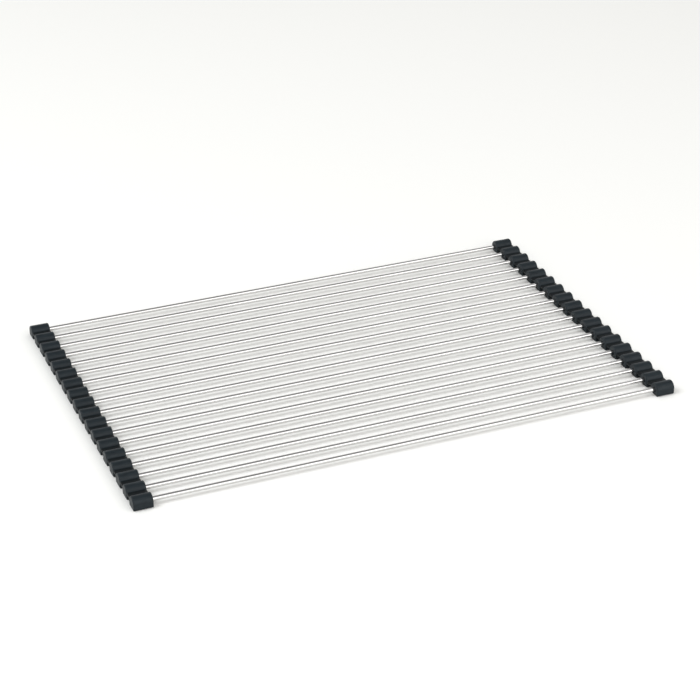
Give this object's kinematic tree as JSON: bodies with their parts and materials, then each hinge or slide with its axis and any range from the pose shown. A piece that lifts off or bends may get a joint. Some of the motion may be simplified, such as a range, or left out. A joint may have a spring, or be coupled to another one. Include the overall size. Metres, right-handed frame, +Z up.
{
  "type": "roll-up drying rack",
  "caption": "Flat roll-up drying rack: polished steel rods held at both ends in dark silicone side strips that bend between the rods.",
  "frame": {"origin": "on the surface that the rack rests on, under the middle of the rack", "axes": "+X along the rods to the right, +Y across the rods from the front rod to the rear rod, +Z up"},
  "size_m": [0.477, 0.3174, 0.0105],
  "materials": {
    "rod_steel": "polished",
    "socket_silicone": "matte moulded silicone",
    "web_silicone": "matte moulded silicone"
  },
  "bodies": {
    "slat_01": {"rod_01": "rod_steel", "end_caps_01": "socket_silicone", "flex_webs_01": "web_silicone"},
    "slat_02": {"rod_02": "rod_steel", "end_caps_02": "socket_silicone", "flex_webs_02": "web_silicone"},
    "slat_03": {"rod_03": "rod_steel", "end_caps_03": "socket_silicone", "flex_webs_03": "web_silicone"},
    "slat_04": {"rod_04": "rod_steel", "end_caps_04": "socket_silicone", "flex_webs_04": "web_silicone"},
    "slat_05": {"rod_05": "rod_steel", "end_caps_05": "socket_silicone", "flex_webs_05": "web_silicone"},
    "slat_06": {"rod_06": "rod_steel", "end_caps_06": "socket_silicone", "flex_webs_06": "web_silicone"},
    "slat_07": {"rod_07": "rod_steel", "end_caps_07": "socket_silicone", "flex_webs_07": "web_silicone"},
    "slat_08": {"rod_08": "rod_steel", "end_caps_08": "socket_silicone", "flex_webs_08": "web_silicone"},
    "slat_09": {"rod_09": "rod_steel", "end_caps_09": "socket_silicone", "flex_webs_09": "web_silicone"},
    "slat_10": {"rod_10": "rod_steel", "end_caps_10": "socket_silicone", "flex_webs_10": "web_silicone"},
    "slat_11": {"rod_11": "rod_steel", "end_caps_11": "socket_silicone", "flex_webs_11": "web_silicone"},
    "slat_12": {"rod_12": "rod_steel", "end_caps_12": "socket_silicone", "flex_webs_12": "web_silicone"},
    "slat_13": {"rod_13": "rod_steel", "end_caps_13": "socket_silicone", "flex_webs_13": "web_silicone"},
    "slat_14": {"rod_14": "rod_steel", "end_caps_14": "socket_silicone", "flex_webs_14": "web_silicone"},
    "slat_15": {"rod_15": "rod_steel", "end_caps_15": "socket_silicone", "flex_webs_15": "web_silicone"},
    "slat_16": {"rod_16": "rod_steel", "end_caps_16": "socket_silicone", "flex_webs_16": "web_silicone"},
    "slat_17": {"rod_17": "rod_steel", "end_caps_17": "socket_silicone", "flex_webs_17": "web_silicone"},
    "slat_18": {"rod_18": "rod_steel", "end_caps_18": "socket_silicone"}
  },
  "joints": [
    {"name": "web_hinge_01", "type": "hinge", "parent": "slat_01", "child": "slat_02", "pos_m": [0, -0.144, 0.0057], "axis": [1, 0, 0], "range_deg": [0, 28], "stiffness_Nm_per_rad": 0.02, "deforming": ["flex_webs_01"]},
    {"name": "web_hinge_02", "type": "hinge", "parent": "slat_02", "child": "slat_03", "pos_m": [0, -0.126, 0.0057], "axis": [1, 0, 0], "range_deg": [0, 29], "stiffness_Nm_per_rad": 0.02, "deforming": ["flex_webs_02"]},
    {"name": "web_hinge_03", "type": "hinge", "parent": "slat_03", "child": "slat_04", "pos_m": [0, -0.108, 0.0057], "axis": [1, 0, 0], "range_deg": [0, 29.5], "stiffness_Nm_per_rad": 0.02, "deforming": ["flex_webs_03"]},
    {"name": "web_hinge_04", "type": "hinge", "parent": "slat_04", "child": "slat_05", "pos_m": [0, -0.09, 0.0057], "axis": [1, 0, 0], "range_deg": [0, 30.5], "stiffness_Nm_per_rad": 0.02, "deforming": ["flex_webs_04"]},
    {"name": "web_hinge_05", "type": "hinge", "parent": "slat_05", "child": "slat_06", "pos_m": [0, -0.072, 0.0057], "axis": [1, 0, 0], "range_deg": [0, 31.5], "stiffness_Nm_per_rad": 0.02, "deforming": ["flex_webs_05"]},
    {"name": "web_hinge_06", "type": "hinge", "parent": "slat_06", "child": "slat_07", "pos_m": [0, -0.054, 0.0057], "axis": [1, 0, 0], "range_deg": [0, 33], "stiffness_Nm_per_rad": 0.02, "deforming": ["flex_webs_06"]},
    {"name": "web_hinge_07", "type": "hinge", "parent": "slat_07", "child": "slat_08", "pos_m": [0, -0.036, 0.0057], "axis": [1, 0, 0], "range_deg": [0, 34], "stiffness_Nm_per_rad": 0.02, "deforming": ["flex_webs_07"]},
    {"name": "web_hinge_08", "type": "hinge", "parent": "slat_08", "child": "slat_09", "pos_m": [0, -0.018, 0.0057], "axis": [1, 0, 0], "range_deg": [0, 35.5], "stiffness_Nm_per_rad": 0.02, "deforming": ["flex_webs_08"]},
    {"name": "web_hinge_09", "type": "hinge", "parent": "slat_09", "child": "slat_10", "pos_m": [0, 0, 0.0057], "axis": [1, 0, 0], "range_deg": [0, 37.5], "stiffness_Nm_per_rad": 0.02, "deforming": ["flex_webs_09"]},
    {"name": "web_hinge_10", "type": "hinge", "parent": "slat_10", "child": "slat_11", "pos_m": [0, 0.018, 0.0057], "axis": [1, 0, 0], "range_deg": [0, 39.5], "stiffness_Nm_per_rad": 0.02, "deforming": ["flex_webs_10"]},
    {"name": "web_hinge_11", "type": "hinge", "parent": "slat_11", "child": "slat_12", "pos_m": [0, 0.036, 0.0057], "axis": [1, 0, 0], "range_deg": [0, 41.5], "stiffness_Nm_per_rad": 0.02, "deforming": ["flex_webs_11"]},
    {"name": "web_hinge_12", "type": "hinge", "parent": "slat_12", "child": "slat_13", "pos_m": [0, 0.054, 0.0057], "axis": [1, 0, 0], "range_deg": [0, 44.5], "stiffness_Nm_per_rad": 0.02, "deforming": ["flex_webs_12"]},
    {"name": "web_hinge_13", "type": "hinge", "parent": "slat_13", "child": "slat_14", "pos_m": [0, 0.072, 0.0057], "axis": [1, 0, 0], "range_deg": [0, 48], "stiffness_Nm_per_rad": 0.02, "deforming": ["flex_webs_13"]},
    {"name": "web_hinge_14", "type": "hinge", "parent": "slat_14", "child": "slat_15", "pos_m": [0, 0.09, 0.0057], "axis": [1, 0, 0], "range_deg": [0, 52.5], "stiffness_Nm_per_rad": 0.02, "deforming": ["flex_webs_14"]},
    {"name": "web_hinge_15", "type": "hinge", "parent": "slat_15", "child": "slat_16", "pos_m": [0, 0.108, 0.0057], "axis": [1, 0, 0], "range_deg": [0, 59], "stiffness_Nm_per_rad": 0.02, "deforming": ["flex_webs_15"]},
    {"name": "web_hinge_16", "type": "hinge", "parent": "slat_16", "child": "slat_17", "pos_m": [0, 0.126, 0.0057], "axis": [1, 0, 0], "range_deg": [0, 68.5], "stiffness_Nm_per_rad": 0.02, "deforming": ["flex_webs_16"]},
    {"name": "web_hinge_17", "type": "hinge", "parent": "slat_17", "child": "slat_18", "pos_m": [0, 0.144, 0.0057], "axis": [1, 0, 0], "range_deg": [0, 80], "stiffness_Nm_per_rad": 0.02, "deforming": ["flex_webs_17"]}
  ]
}
